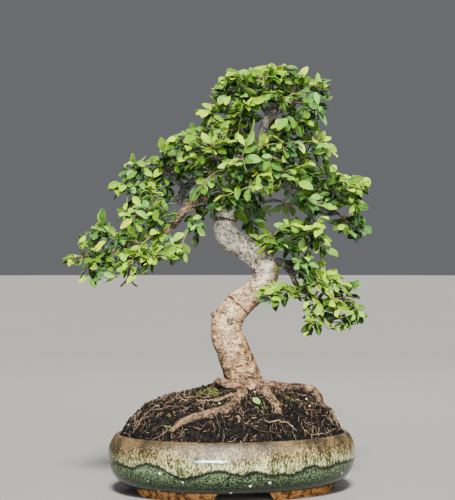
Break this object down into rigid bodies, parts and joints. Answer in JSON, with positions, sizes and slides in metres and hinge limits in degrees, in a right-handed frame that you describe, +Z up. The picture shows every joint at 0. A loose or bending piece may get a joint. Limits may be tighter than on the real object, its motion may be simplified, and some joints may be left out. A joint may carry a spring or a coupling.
{
  "type": "bonsai tree",
  "caption": "Chinese elm bonsai with an S-shaped trunk, bare surface roots and leafy sprays on a soil mound in an oval glazed footed pot with drain holes.",
  "frame": {"origin": "middle of the whole plant's outline seen from above, on the surface that the pot's feet stand on", "axes": "+X along the pot's long axis, to the right seen from the front; +Y to the back; +Z up along the trunk"},
  "size_m": [0.3078, 0.1792, 0.4277],
  "materials": {
    "glazed_stoneware": "mottled cream and grey-green glaze over orange-brown clay, glossy",
    "soil": "dark crumbly soil mix, matte",
    "bark": "grey-brown bark with darker pores, matte",
    "leaf": "fresh mid-green, satin",
    "young_leaf": "yellow-green, satin",
    "mesh_plastic": "dark green plastic mesh, matte"
  },
  "bodies": {
    "root": {"pot": "glazed_stoneware", "soil": "soil", "drain_screen_left": "mesh_plastic", "drain_screen_right": "mesh_plastic", "fallen_leaf": "young_leaf", "tree_wood": "bark", "spray_01": "young_leaf", "spray_02": "leaf", "spray_03": "leaf", "spray_04": "young_leaf", "spray_05": "leaf", "spray_06": "leaf", "spray_07": "young_leaf", "spray_08": "leaf", "spray_09": "leaf", "spray_10": "young_leaf", "spray_11": "leaf", "spray_12": "leaf", "spray_13": "young_leaf", "spray_14": "leaf", "spray_15": "leaf", "spray_16": "young_leaf", "spray_17": "leaf", "spray_18": "leaf", "spray_19": "young_leaf", "spray_20": "leaf", "spray_21": "leaf", "spray_22": "young_leaf", "spray_23": "leaf", "spray_24": "leaf", "spray_25": "young_leaf", "spray_26": "leaf", "spray_27": "leaf", "spray_28": "young_leaf", "spray_29": "leaf", "spray_30": "leaf", "spray_31": "young_leaf", "spray_32": "leaf", "spray_33": "leaf", "spray_34": "young_leaf", "spray_35": "leaf", "spray_36": "leaf", "spray_37": "young_leaf", "spray_38": "leaf", "spray_39": "leaf", "spray_40": "young_leaf", "spray_41": "leaf", "spray_42": "leaf", "spray_43": "young_leaf", "spray_44": "leaf", "spray_45": "leaf", "spray_46": "young_leaf", "spray_47": "leaf", "spray_48": "leaf", "spray_49": "young_leaf", "spray_50": "leaf", "spray_51": "leaf", "spray_52": "young_leaf", "spray_53": "leaf", "spray_54": "leaf"}
  },
  "joints": []
}
